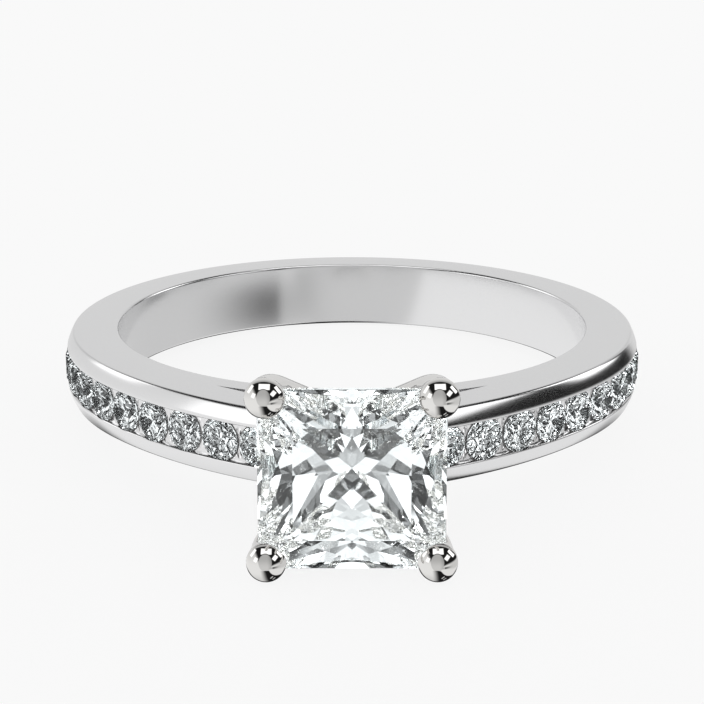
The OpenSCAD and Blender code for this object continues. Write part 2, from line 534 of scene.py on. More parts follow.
class Shader(Nodes):
    """The node tree of a material or of the world."""

    def value(self, node: Node, output: str | int = 0) -> Value:
        """One output of a node as a value."""
        return Value(self, node.outputs[output])

    def math(self, operation: str, *terms: object) -> Value:
        """Adds a Math node on values and numbers."""
        made = self.node("ShaderNodeMath", dict(enumerate(terms)), operation=operation)
        return self.value(made)

    def root(self, value: Value, least: float = 0.0) -> Value:
        """Square root of a value that is held above a least one."""
        return self.math("SQRT", self.math("MAXIMUM", value, least))

    def step(self, value: Value, edge: float, soft: float) -> Value:
        """Smooth step from 0 below an edge to 1 above it.

        Args:
            value: What is compared.
            edge: Middle of the step.
            soft: Half the width of the step.

        Returns:
            The step, 0 to 1.
        """
        made = self.node(
            "ShaderNodeMapRange",
            {"Value": value, "From Min": edge - soft, "From Max": edge + soft},
            interpolation_type="SMOOTHSTEP",
        )
        return self.value(made, "Result")

    def finish(self, node: Node, kind: str = "ShaderNodeOutputMaterial") -> None:
        """Leads a node to the tree's output."""
        self.node(kind, {"Surface": node.outputs[0]})


def new_material(name: str) -> tuple[Material, Shader]:
    """Makes an empty material and its shader.

    Args:
        name: The material's name.

    Returns:
        The material and its node tree.
    """
    made = bpy.data.materials.new(name)
    made.use_nodes = True
    return made, Shader(made.node_tree)


# Finishes


@dataclass(frozen=True)
class Metal:
    """White precious metal with a trace of haze and faint polishing marks."""

    name: str
    colour: Colour
    roughness: float
    roughness_spread: float
    haze_scale: float = 0.6 / MM
    haze_detail: Pair = (3.0, 0.6)
    mark_scale: float = 1 / (0.35 * MM)
    mark_detail: Pair = (4.0, 0.7)
    mark_depth: float = 0.0006 * MM
    mark_strength: float = 0.15

    def material(self) -> Material:
        """Builds the material.

        Returns:
            The metal with its roughness and marks on Object coordinates.
        """
        made, shader = new_material(self.name)
        haze = self._noise(shader, self.haze_scale, *self.haze_detail)
        marks = self._noise(shader, self.mark_scale, *self.mark_detail)
        bump = shader.node(
            "ShaderNodeBump",
            {"Height": marks, "Strength": self.mark_strength, "Distance": self.mark_depth},
        )
        body = shader.node(
            "ShaderNodeBsdfPrincipled",
            {
                "Base Color": self.colour,
                "Metallic": 1.0,
                "Roughness": self.roughness + haze * self.roughness_spread,
                "Normal": bump.outputs["Normal"],
            },
        )
        shader.finish(body)
        return made

    @staticmethod
    def _noise(shader: Shader, scale: float, detail: float, roughness: float) -> Value:
        """Noise on Object coordinates.

        Args:
            shader: The material's tree.
            scale: Waves to a metre.
            detail: Octaves of finer noise.
            roughness: How strong each finer one is.

        Returns:
            The noise, 0 to 1.
        """
        place = shader.node("ShaderNodeTexCoord").outputs["Object"]
        made = shader.node(
            "ShaderNodeTexNoise",
            {"Vector": place, "Scale": scale, "Detail": detail, "Roughness": roughness},
        )
        return shader.value(made, "Fac")


POLISHED = Metal("polished_white_gold", (0.86, 0.86, 0.865, 1.0), 0.14, 0.04)
MIRROR = Metal("mirror_white_gold", (0.86, 0.85, 0.83, 1.0), 0.02, 0.02)
# Pocket faces: the rougher drilled finish is real, but the dark grey colour is painted shade inside
# the pockets under the stones.
DRILLED_AND_SHADED = Metal("drilled_white_gold_painted_shade", (0.24, 0.24, 0.24, 1.0), 0.5, 0.1)


@dataclass(frozen=True)
class CutStone:
    """Clear faceted stone with a strong refraction.

    The glint is the share of its front facets' own mirroring that shows.
    """

    name: str
    tint: Colour
    glint: float
    polish: float = 0.0
    index: float = 2.418
    first_inside: float = 0.5

    def material(self) -> Material:
        """Builds the material.

        Returns:
            A refracting stone, which polished metal looks through when it mirrors it.
        """
        made, shader = new_material(self.name)
        facts = {"Roughness": self.polish, "IOR": self.index}
        body = shader.node(
            "ShaderNodeBsdfPrincipled",
            {"Base Color": self.tint, "Transmission Weight": 1.0, **facts},
        )
        bent = shader.node("ShaderNodeBsdfRefraction", {"Color": self.tint, **facts})
        clear = shader.node("ShaderNodeBsdfTransparent")
        within = shader.value(shader.node("ShaderNodeNewGeometry"), "Backfacing")
        path = shader.node("ShaderNodeLightPath")
        depth = shader.value(path, "Transmission Depth")
        inside = shader.math("GREATER_THAN", depth, self.first_inside)
        passed = shader.value(path, "Is Glossy Ray") * (1 - inside)
        face = self._mixed(shader, (1 - within) * (1 - self.glint), body, bent)
        shader.finish(self._mixed(shader, passed, face, clear))
        return made

    @staticmethod
    def _mixed(shader: Shader, share: Value, one: Node, two: Node) -> Node:
        """Mixes two shaders by a share."""
        return shader.node("ShaderNodeMixShader", {0: share, 1: one.outputs[0], 2: two.outputs[0]})


CLEAR = CutStone("clear_stone", (0.955, 0.99, 1.0, 1.0), 0.25)
SMALL = CutStone("small_clear_stone", (0.92, 0.95, 0.958, 1.0), 0.15)


# The band


@dataclass(frozen=True)
class Rows:
    """Numbers of one section's points."""

    outer: list[int]
    corner: list[int]
    inner: list[int]

    def hole_side(self) -> list[int]:
        """The points from one corner along the finger hole to the other."""
        return self.corner[:1] + self.inner + self.corner[1:]

    def loop(self) -> list[int]:
        """All the points, once round the section."""
        return self.outer + self.hole_side()


class Skin:
    """Points and faces of a swept mesh."""

    def __init__(self) -> None:
        """Starts without points."""
        self.verts: list[Point] = []
        self.faces: list[tuple[int, ...]] = []

    def add(self, points: list[Point]) -> list[int]:
        """Adds points and returns their numbers.

        Args:
            points: The points.

        Returns:
            The number of each.
        """
        first = len(self.verts)
        self.verts += points
        return list(range(first, len(self.verts)))

    def join(self, one: list[int], two: list[int]) -> None:
        """Joins two closed rows of points by four-sided faces.

        Args:
            one: The first row's numbers.
            two: The second row's.
        """
        for k in range(len(one)):
            n = (k + 1) % len(one)
            self.faces.append((one[k], one[n], two[n], two[k]))


@dataclass
class Band:
    """Shank, shoulders with their channels, and the finger rail under the head, in one mesh."""

    axes: RingAxes
    outline: Outline = field(default_factory=Outline)
    section: Section = field(default_factory=Section)
    channel: Channel = field(default_factory=Channel)
    zone_steps: int = 9
    back_step: float = 0.2
    rail_steps: int = 60
    crease_deg: float = 35.0
    lip_cover: float = 0.01
    cutter_rise: float = 1.0
    cutter_sides: int = 64
    merge: float = 1e-5

    def build(self, metal: Material, drilled_and_shaded: Material) -> Object:
        """Builds the band and cuts the stones' pockets.

        Args:
            metal: The metal's material.
            drilled_and_shaded: Material of the pockets' faces.

        Returns:
            The finished band.
        """
        data = self._swept()
        data.materials.append(metal)
        shell = mesh_object("band_shell", data)
        pockets = self._pockets(drilled_and_shaded)
        cut = shell.modifiers.new("pockets", "BOOLEAN")
        cut.operation = "DIFFERENCE"
        cut.solver = "MANIFOLD"
        # The pockets' cut faces take the pocket material, whose dark colour is painted shade.
        cut.material_mode = "TRANSFER"
        cut.object = pockets
        band = baked(shell, "band")
        bpy.data.objects.remove(pockets)
        band.data.transform(self.axes.matrix())
        return band

    def _marks(self) -> list[float]:
        """Stations of the sections of the right half, from the shoulder's end to the back.

        Returns:
            Rising stations, with one at each end of a seat, at the fork and at the joint.
        """
        stones = self.channel.stations(self.outline)
        half = self.channel.pitch / 2
        marks = []
        for place in stones:
            marks += list(np.linspace(place - half, place + half, self.zone_steps + 1))
        marks.append(self._fork())
        marks += [self.channel.start(self.outline), self.channel.stop(self.outline)]
        first = self._end_station(self.section.dome_rise)
        marks += list(np.linspace(first, stones[0] - half, self.zone_steps))
        last = self.channel.stop(self.outline)
        count = math.ceil((self.outline.middle - last) / self.back_step)
        marks += list(np.linspace(last, self.outline.middle, count + 1))
        marks.sort()
        kept = [marks[0]]
        for mark in marks[1:]:
            if mark - kept[-1] > self.merge:
                kept.append(mark)
        return kept

    def _end_station(self, height: float) -> float:
        """Station where the shoulder's end plane cuts a height over the outline.

        Args:
            height: The height.

        Returns:
            The station.
        """
        reach = self.outline.shoulder_r + height
        turn = math.asin((self.outline.end_x - self.outline.shoulder_c[0]) / reach)
        return (turn - math.radians(self.outline.shoulder_deg)) * self.outline.shoulder_r

    def _seat(self, station: float) -> float:
        """Height of the flat seat over the outline at a station.

        Args:
            station: The station.

        Returns:
            The height of the nearest stone's seat there.
        """
        stones = self.channel.stations(self.outline)
        nearest = min(stones, key=lambda place: abs(place - station))
        radius = self.outline.arc(nearest)[1]
        level = self.section.seat_level(self.channel)
        return (radius + level) / math.cos((station - nearest) / radius) - radius

    def _outer(self, station: float, cut: bool) -> list[Pair]:
        """Outer points (height, z) of a section, from the upper side face to the lower one.

        Args:
            station: The section's station.
            cut: Whether the channel is open there.

        Returns:
            The same number of points with or without the channel.
        """
        rail = self.section.upper_rail(self.channel)
        if cut:
            upper = rail + [(self._seat(station), self.channel.width / 2)]
        else:
            solid = len(rail) - self.section.lip_steps
            first_z = rail[solid - 1][1]
            steps = self.section.lip_steps + 1
            spread = np.linspace(first_z, first_z / 2, steps + 1)[1:]
            upper = rail[:solid] + [(self.section.dome(z), float(z)) for z in spread]
        return upper + [(h, -z) for h, z in reversed(upper)]

    def _inner(self, station: float) -> list[Pair]:
        """Points (height, z) along the finger hole, from the lower side face to the upper one.

        Args:
            station: The section's station.

        Returns:
            The two rounded edges.
        """
        depth = self.outline.depth_on_circle(station, self.outline.finger_r)
        edge = self.section.inner_edge
        turns = np.linspace(-math.pi / 2, -math.pi, self.section.edge_steps + 1)
        low = rounded((depth + edge, edge - self.section.half), edge, turns)
        return low + [(h, -z) for h, z in reversed(low)]

    def _place(self, station: float, points: list[Pair], side: int) -> list[Point]:
        """Places a section's points in ring axes.

        Args:
            station: The section's station.
            points: Height over the outline and z of each point.
            side: 1 for the right half, -1 for the left.

        Returns:
            The points, held back at the plane where the shoulder ends.
        """
        made = []
        for height, z in points:
            held = max(station, self._end_station(height)) if station < 0 else station
            centre, radius = self.outline.arc(held)
            x, y = centre + (radius + height) * self.outline.heading(self.outline.angle(held))
            made.append((side * float(x), float(y), z))
        return made

    def _rows(self, skin: Skin, station: float, side: int, rising: bool) -> list[Rows]:
        """Adds the points of a section, twice where the channel ends.

        Args:
            skin: The mesh so far.
            station: The section's station.
            side: 1 for the right half, -1 for the left.
            rising: Whether the sweep goes towards the back.

        Returns:
            The sections in the sweep's order. Over the opening under the head they have no
            points along the finger hole.
        """
        outline, half = self.outline, self.section.half
        start, stop = self.channel.start(outline), self.channel.stop(outline)
        cuts = [start < station < stop]
        if abs(station - start) < self.merge:
            cuts = [False, True]
        if abs(station - stop) < self.merge:
            cuts = [True, False]
        if station > self._fork() - self.merge:
            low, inner = station, self._inner(station)
            depth = outline.depth_on_circle(station, outline.rail_r)
        else:
            low, inner = max(station, outline.station_of(outline.end_point)), []
            depth = outline.depth_on_underside(low)
        return [
            Rows(
                skin.add(self._place(station, self._outer(station, cut), side)),
                skin.add(self._place(low, [(depth, -half), (depth, half)], side)),
                skin.add(self._place(station, inner, side)),
            )
            for cut in (cuts if rising else cuts[::-1])
        ]

    def _fork(self) -> float:
        """Station where the opening under the head starts."""
        return self.outline.station_of(self.outline.fork_point)

    def _swept(self) -> Mesh:
        """Sweeps the sections along the outline into one closed mesh in ring axes.

        Returns:
            The band without the stones' pockets.
        """
        skin = Skin()
        marks = self._marks()
        forks = self._hoop(skin, [m for m in marks if m > self._fork() - self.merge])
        arm = [m for m in marks if m < self._fork() - self.merge]
        for side, section in forks.items():
            self._arm(skin, arm, side, section)
        self._rail(skin, forks)
        data = bpy.data.meshes.new("band")
        data.from_pydata(skin.verts, [], skin.faces)
        clean_mesh(data, self.merge)
        sharpen(data, self.crease_deg)
        return data

    def _hoop(self, skin: Skin, marks: list[float]) -> dict[int, Rows]:
        """Sweeps the band from one fork round the back to the other.

        Args:
            skin: The mesh so far.
            marks: Stations of the right half, from the fork to the middle of the back.

        Returns:
            The section at each side's fork.
        """
        forks: dict[int, Rows] = {}
        previous: list[int] = []
        path = [(mark, 1) for mark in marks] + [(mark, -1) for mark in reversed(marks[:-1])]
        for station, side in path:
            for section in self._rows(skin, station, side, side > 0):
                if previous:
                    skin.join(previous, section.loop())
                previous = section.loop()
                if abs(station - self._fork()) < self.merge:
                    forks[side] = section
        return forks

    def _arm(self, skin: Skin, marks: list[float], side: int, section: Rows) -> None:
        """Sweeps a shoulder over the opening, from its fork to its end.

        Args:
            skin: The mesh so far.
            marks: Stations from the shoulder's end to the fork.
            side: 1 for the right half, -1 for the left.
            section: The section at the fork.
        """
        previous = section.outer + section.corner
        for station in reversed(marks):
            for section in self._rows(skin, station, side, False):
                skin.join(previous, section.outer + section.corner)
                previous = section.outer + section.corner
        skin.faces.append(tuple(previous))

    def _rail(self, skin: Skin, forks: dict[int, Rows]) -> None:
        """Sweeps the finger rail under the opening, from the right fork to the left one.

        Args:
            skin: The mesh so far.
            forks: The section at each side's fork.
        """
        previous, last = forks[1].hole_side(), forks[-1].hole_side()
        points = [skin.verts[k] for k in previous]
        polar = [(math.hypot(x, y), math.atan2(x, -y), z) for x, y, z in points]
        for step in range(1, self.rail_steps):
            share = 1 - 2 * step / self.rail_steps
            loop = skin.add([
                (r * math.sin(t * share), -r * math.cos(t * share), z) for r, t, z in polar
            ])
            skin.join(previous, loop)
            previous = loop
        skin.join(previous, last)

    def _cutter(self) -> Object:
        """One pocket's cutter, which follows the stone's pavilion, girdle and crown.

        Returns:
            The cutter, with the stone's axis along Z and the seat at its height.
        """
        channel = self.channel
        level = self.section.seat_level(channel)
        radius = channel.stone_d / 2 + channel.gap
        lip = channel.width / 2 - self.lip_cover
        top = level + 2 * channel.gap + channel.girdle * channel.stone_d
        crown = top + (radius - lip) * math.tan(math.radians(channel.crown_deg))
        deep = level - radius * math.tan(math.radians(channel.pavilion_deg)) - channel.gap
        clear = level + self.cutter_rise
        profile = [
            (0.0, deep), (radius, level), (radius, top), (lip, crown), (lip, clear), (0.0, clear)
        ]
        data = bpy.data.meshes.new("pocket_profile")
        edges = [(k, k + 1) for k in range(len(profile) - 1)]
        data.from_pydata([(x, 0.0, z) for x, z in profile], edges, [])
        turned = mesh_object("pocket_profile", data)
        spin = turned.modifiers.new("spin", "SCREW")
        spin.steps = spin.render_steps = self.cutter_sides
        spin.use_merge_vertices = True
        spin.merge_threshold = self.merge
        cutter = baked(turned, "pocket_cutter")
        clean_mesh(cutter.data, self.merge)
        return cutter

    def _pockets(self, drilled_and_shaded: Material) -> Object:
        """Cutters for the pockets under the channel stones, one at each station.

        Args:
            drilled_and_shaded: The material that the cut faces take.

        Returns:
            One object with all the cutters, in ring axes.
        """
        points, turns = [], []
        for side in (-1, 1):
            for station in self.channel.stations(self.outline):
                points += self._place(station, [(0.0, 0.0)], side)
                angle = math.radians(self.outline.angle(station)) * side
                turn = Matrix.Rotation(angle, 3, "Z") @ Matrix.Rotation(math.pi / 2, 3, "X")
                turns += turn.to_euler()
        spots = bpy.data.meshes.new("pocket_spots")
        spots.from_pydata(points, [], [])
        spots.attributes.new("turn", "FLOAT_VECTOR", "POINT").data.foreach_set("vector", turns)
        tree = Repeat("pockets_along_channel")
        shape = tree.named("Cutter", "NodeSocketObject")
        piece = tree.node("GeometryNodeObjectInfo", {"Object": shape}).outputs["Geometry"]
        turn_at = tree.node(
            "GeometryNodeInputNamedAttribute", {"Name": "turn"}, data_type="FLOAT_VECTOR"
        )
        # Each cutter carries the pocket material, whose dark colour is painted shade.
        tree.place(tree.base, piece, turn_at.outputs[0], drilled_and_shaded)
        cutter = self._cutter()
        made = tree.apply(mesh_object("pocket_spots", spots), "pockets", {"Cutter": cutter})
        bpy.data.objects.remove(cutter)
        return made


# The head


@dataclass
class ClawHead:
    """Four claws with ball tips, and the gallery rail that ties them together."""

    axes: RingAxes
    tip_r: float = 0.6
    tip_off: float = 2.54
    tip_y: float = 13.57
    knee_off: float = 2.43
    knee_y: float = 12.52
    claw_r: float = 0.56
    foot_r: float = 0.38
    foot_off: float = 0.74
    foot_y: float = 8.9
    gallery_r: float = 0.27
    gallery_y: float = 10.9
    bend_r: float = 0.9
    bend_share: float = 0.6
    gallery_reach: float = 1.1
    claws: int = 4
    sides: int = 40
    shaft_steps: int = 12
    bend_steps: int = 16
    ball_steps: int = 16
    end_r: float = 1e-4
    crease_deg: float = 50.0

    def build(self, metal: Material) -> list[Object]:
        """Builds the claws and the gallery rail.

        Args:
            metal: The metal's material.

        Returns:
            The two finished objects.
        """
        made = [self._claws(metal), self._gallery(metal)]
        for piece in made:
            piece.data.transform(self.axes.matrix())
            sharpen(piece.data, self.crease_deg)
        return made

    def _path(self) -> tuple[list[Vector], list[float]]:
        """Centre line of one claw and its radius at each point.

        Returns:
            Points from the foot to the end of the ball, and their radii.
        """
        foot, knee, tip = (
            Vector((off, -y, off))
            for off, y in (
                (self.foot_off, self.foot_y), (self.knee_off, self.knee_y), (self.tip_off, self.tip_y)
            )
        )
        low, high = (foot - knee).normalized(), (tip - knee).normalized()
        reach = min(self.bend_r, (tip - knee).length * self.bend_share)
        start, stop = knee + low * reach, knee + high * reach
        points = [foot.lerp(start, k / self.shaft_steps) for k in range(self.shaft_steps)]
        for share in np.linspace(0, 1, self.bend_steps + 1):
            points.append(start.lerp(knee, share).lerp(knee.lerp(stop, share), share))
        whole = (knee - foot).length
        radii = [
            self.foot_r + (self.claw_r - self.foot_r) * min(1.0, (p - foot).length / whole)
            for p in points
        ]
        meet = math.sqrt(self.tip_r**2 - self.claw_r**2)
        points.append(tip - high * meet)
        radii.append(self.claw_r)
        first = math.asin(-meet / self.tip_r)
        for turn in np.linspace(first, math.pi / 2, self.ball_steps + 1)[1:]:
            points.append(tip + high * self.tip_r * math.sin(turn))
            radii.append(max(self.tip_r * math.cos(turn), self.end_r))
        return points, radii

    def _bar_tree(self, name: str, metal: Material) -> Repeat:
        """Tree that sweeps a round bar along a path and repeats it round the stone's axis.

        Args:
            name: The tree's name.
            metal: The metal's material.

        Returns:
            The finished tree.
        """
        tree = Repeat(name)
        sides, count = tree.named("Sides", "NodeSocketInt"), tree.named("Count", "NodeSocketInt")
        step = tree.named("Turn")
        size = tree.node("GeometryNodeInputNamedAttribute", {"Name": "radius_mm"}, data_type="FLOAT")
        path = tree.node("GeometryNodeMeshToCurve", {"Mesh": tree.base})
        ring = tree.node("GeometryNodeCurvePrimitiveCircle", {"Resolution": sides, "Radius": 1.0})
        bar = tree.node(
            "GeometryNodeCurveToMesh",
            {
                "Curve": path.outputs[0],
                "Profile Curve": ring.outputs[0],
                "Scale": size.outputs[0],
                "Fill Caps": True,
            },
        )
        spots = tree.node("GeometryNodePoints", {"Count": count, "Radius": 0.0})
        index = tree.node("GeometryNodeInputIndex").outputs[0]
        turn = tree.node("ShaderNodeMath", {0: index, 1: step}, operation="MULTIPLY")
        euler = tree.node("ShaderNodeCombineXYZ", {"Y": turn.outputs[0]})
        tree.place(spots.outputs[0], bar.outputs[0], euler.outputs[0], metal)
        return tree

    def _bars(self, name: str, points: list[Vector], radii: list[float], metal: Material) -> Object:
        """Sweeps one bar and repeats it round the stone's axis.

        Args:
            name: The finished object's name.
            points: The bar's centre line in ring axes.
            radii: Its radius at each point.
            metal: The metal's material.

        Returns:
            The finished object, in ring axes.
        """
        data = bpy.data.meshes.new(name)
        edges = [(k, k + 1) for k in range(len(points) - 1)]
        data.from_pydata([tuple(p) for p in points], edges, [])
        data.attributes.new("radius_mm", "FLOAT", "POINT").data.foreach_set("value", radii)
        sizes = {"Sides": self.sides, "Count": self.claws, "Turn": math.tau / self.claws}
        tree = self._bar_tree(name + "_bars", metal)
        made = tree.apply(mesh_object(name + "_path", data), name, sizes)
        clean_mesh(made.data, self.end_r)
        return made

    def _claws(self, metal: Material) -> Object:
        """The four claws in ring axes."""
        points, radii = self._path()
        return self._bars("claws", points, radii, metal)

    def _gallery(self, metal: Material) -> Object:
        """The gallery rail's four bars in ring axes.

        Args:
            metal: The metal's material.

        Returns:
            The finished rail.
        """
        share = (self.gallery_y - self.foot_y) / (self.knee_y - self.foot_y)
        off = self.foot_off + (self.knee_off - self.foot_off) * share
        end = off - self.gallery_r * self.gallery_reach
        points = [Vector((end * k, -self.gallery_y, off)) for k in (-1.0, 0.0, 1.0)]
        return self._bars("gallery_rail", points, [self.gallery_r] * 3, metal)


# The studio


class Panel(NamedTuple):
    """A lit panel, as a mirror ball in front of the camera shows it.

    Middle and half sizes are in parts of the ball's radius; the turn is in degrees.
    """

    x: float
    y: float
    half_long: float
    half_wide: float
    turn: float = 0.0
    light: float = 1.35
    soft: float = 0.02


class Oval(NamedTuple):
    """An oval patch of the surroundings, in the same measure as the panels."""

    x: float
    y: float
    half_wide: float
    half_tall: float
    soft: float = 0.02


class Line(NamedTuple):
    """A straight border through two points; the patch lies to the left of the way along it."""

    x0: float
    y0: float
    x1: float
    y1: float
    soft: float


@dataclass(frozen=True)
class Ball:
    """The surroundings as a mirror ball in front of the camera shows them."""

    shader: Shader
    x: Value
    y: Value

    def in_panel(self, panel: Panel) -> Value:
        """Mask of a panel.

        Args:
            panel: The panel.

        Returns:
            The mask, 1 on the panel.
        """
        turn = math.radians(panel.turn)
        across, up = self.x - panel.x, self.y - panel.y
        far = abs(across * math.cos(turn) + up * math.sin(turn))
        side = abs(up * math.cos(turn) - across * math.sin(turn))
        inside = 1 - self.shader.step(far, panel.half_long, panel.soft)
        return inside * (1 - self.shader.step(side, panel.half_wide, panel.soft))

    def in_oval(self, oval: Oval) -> Value:
        """Mask of an oval.

        Args:
            oval: The oval.

        Returns:
            The mask, 1 inside.
        """
        across, up = (self.x - oval.x) / oval.half_wide, (self.y - oval.y) / oval.half_tall
        away = self.shader.math("SQRT", across * across + up * up)
        return 1 - self.shader.step(away, 1.0, oval.soft / oval.half_wide)

    def left_of(self, line: Line) -> Value:
        """Mask of what lies to the left of a border.

        Args:
            line: The border.

        Returns:
            The mask, 1 on the left.
        """
        long = math.hypot(line.x1 - line.x0, line.y1 - line.y0)
        go_x, go_y = (line.x1 - line.x0) / long, (line.y1 - line.y0) / long
        away = (self.y - line.y0) * go_x - (self.x - line.x0) * go_y
        return self.shader.step(away, 0.0, line.soft)

    def right_past(self, ramp: Ramp) -> Value:
        """Mask of what lies further right than a ramp."""
        return self.shader.step(self.x, *ramp)

    def above(self, ramp: Ramp) -> Value:
        """Mask of what lies higher than a ramp."""
        return self.shader.step(self.y, *ramp)

    def below(self, ramp: Ramp) -> Value:
        """Mask of what lies further down than a ramp, which counts downwards."""
        return self.shader.step(-self.y, *ramp)


def over(under: object, top: object, mask: Value) -> Value:
    """Lays one brightness over another by a mask."""
    return under * (1 - mask) + top * mask


@dataclass
class MirroredRoom:
    """What the polished metal mirrors: a dark ceiling with lit panels, and a pale floor."""

    black: float = 0.012
    # The pale floor, which fades to the lower left and to the right
    low_light: float = 0.88
    right_loss: float = 0.04
    right_half: Ramp = Ramp(0.0, 0.5)
    deep_loss: float = 0.25
    deep: Ramp = Ramp(0.75, 0.25)
    far_right_loss: float = 0.2
    far_right: Ramp = Ramp(0.55, 0.2)
    far_right_top: Ramp = Ramp(-0.32, 0.08)
    # The ceiling with its panels
    wall_light: float = 0.72
    wall_foot: Ramp = Ramp(-0.1, 0.3)
    wall_top: Ramp = Ramp(0.1, 0.2)
    halo: Oval = Oval(0.0, 0.0, 1.0, 0.86, 0.08)
    halo_light: float = 0.38
    halo_foot: Ramp = Ramp(0.6, 0.2)
    ceiling: Oval = Oval(0.0, 0.0, 0.965, 0.795)
    left_border: Line = Line(-0.66, 0.68, -0.35, 0.05, 0.09)
    right_border: Line = Line(0.31, -0.15, 0.93, 0.09, 0.05)
    panels: tuple[Panel, ...] = (
        Panel(0.01, 0.55, 0.27, 0.14),
        Panel(-0.665, 0.43, 0.21, 0.06, 58.7),
        Panel(-0.51, 0.13, 0.115, 0.085, 66.0, 1.3),
        Panel(0.455, 0.235, 0.1, 0.13, -40.0),
        Panel(0.67, 0.41, 0.2, 0.065, -51.0, 1.7),
    )
    # The grey dome in the middle, round the lens
    dome_rim: Oval = Oval(-0.03, 0.0, 0.365, 0.46)
    dome_rim_foot: Ramp = Ramp(0.12, 0.1)
    dome: Oval = Oval(-0.03, 0.0, 0.33, 0.425)
    dome_light: float = 0.47
    dome_low_gain: float = 0.18
    dome_low: Ramp = Ramp(0.0, 0.25)
    dome_right_loss: float = 0.28
    dome_right: Ramp = Ramp(0.24, 0.2)
    # The grey and the shade that the inside of the band shows at its left
    grey_light: float = 0.5
    grey_start: Ramp = Ramp(0.18, 0.05)
    shade_light: float = 0.12
    shade_drop: float = 0.278
    shade_tall: Ramp = Ramp(0.05, 0.03)
    shade_start: Ramp = Ramp(0.325, 0.01)
    shade_end: Ramp = Ramp(0.56, 0.2)
    # The black patch low down, with two streaks, and the dark rim
    patch_border: Line = Line(-0.16, -0.4, -0.04, -0.95, 0.17)
    patch_top: Ramp = Ramp(-0.385, 0.012)
    patch_left: Ramp = Ramp(-0.3, 0.1)
    glow: Oval = Oval(0.55, -0.25, 0.41, 0.41)
    rim_light: float = 0.03
    rim: Ramp = Ramp(0.88, 0.04)
    rim_top: Ramp = Ramp(-0.45, 0.15)
    streaks: tuple[Panel, ...] = (
        Panel(0.25, -0.74, 0.08, 0.018, 38.0, 0.7, 0.015),
        Panel(0.33, -0.81, 0.08, 0.014, 34.0, 0.6, 0.015),
    )

    def light(self, ball: Ball) -> Value:
        """Brightness of the room.

        Args:
            ball: The mirror ball that it is laid out on.

        Returns:
            The brightness, from the floor and the ceiling to the dark rim.
        """
        light = self._ceiling(ball, self._floor(ball))
        light = self._wall(ball, self._dome(ball, light))
        patch = (1 - ball.in_oval(self.glow)) * ball.left_of(self.patch_border)
        patch = patch * (1 - ball.above(self.patch_top)) * ball.right_past(self.patch_left)
        light = over(light, self.black, patch)
        rim = ball.shader.step(ball.x * ball.x + ball.y * ball.y, *self.rim)
        light = over(light, self.rim_light, rim * (1 - ball.above(self.rim_top)))
        return self._lit(ball, light, self.streaks)

    def _floor(self, ball: Ball) -> Value:
        """The pale floor.

        Args:
            ball: The mirror ball.

        Returns:
            Its brightness.
        """
        right = ball.right_past(self.right_half)
        low = self.low_light - self.right_loss * right
        low = low - self.deep_loss * ball.below(self.deep) * (1 - right)
        far = ball.right_past(self.far_right) * ball.above(self.far_right_top)
        return low - self.far_right_loss * far

    def _ceiling(self, ball: Ball, floor: Value) -> Value:
        """The wall behind, and the dark ceiling with its panels, over the floor.

        Args:
            ball: The mirror ball.
            floor: The floor's brightness.

        Returns:
            The brightness of the three.
        """
        ceiling = ball.in_oval(self.ceiling)
        light = over(self.wall_light, floor, ball.below(self.wall_foot))
        light = over(light, self.wall_light, (1 - ceiling) * ball.above(self.wall_top))
        light = over(light, self.halo_light, ball.in_oval(self.halo) * ball.above(self.halo_foot))
        dark = ceiling * ball.left_of(self.right_border) * ball.left_of(self.left_border)
        return self._lit(ball, over(light, self.black, dark), self.panels)

    def _dome(self, ball: Ball, light: Value) -> Value:
        """The grey dome and its black rim over the rest.

        Args:
            ball: The mirror ball.
            light: The rest's brightness.

        Returns:
            The brightness with the dome.
        """
        rim = ball.in_oval(self.dome_rim) * ball.above(self.dome_rim_foot)
        middle = self.dome_light + self.dome_low_gain * ball.below(self.dome_low)
        middle = middle - self.dome_right_loss * ball.right_past(self.dome_right)
        return over(over(light, self.black, rim), middle, ball.in_oval(self.dome))

    def _wall(self, ball: Ball, light: Value) -> Value:
        """The grey and the shade over the rest, along what the inside of the band mirrors.

        Args:
            ball: The mirror ball.
            light: The rest's brightness.

        Returns:
            The brightness with both.
        """
        drop = ball.shader.root(1 - ball.x * ball.x) * self.shade_drop
        wall = 1 - ball.shader.step(abs(ball.y + drop), *self.shade_tall)
        start = ball.right_past(self.shade_start)
        grey = wall * ball.right_past(self.grey_start) * (1 - start)
        shade = wall * start * (1 - ball.right_past(self.shade_end))
        return over(over(light, self.grey_light, grey), self.shade_light, shade)

    @staticmethod
    def _lit(ball: Ball, light: Value, panels: tuple[Panel, ...]) -> Value:
        """Panels over the rest.

        Args:
            ball: The mirror ball.
            light: The rest's brightness.
            panels: The panels.

        Returns:
            The brightness with the panels.
        """
        for panel in panels:
            light = over(light, panel.light, ball.in_panel(panel))
        return light


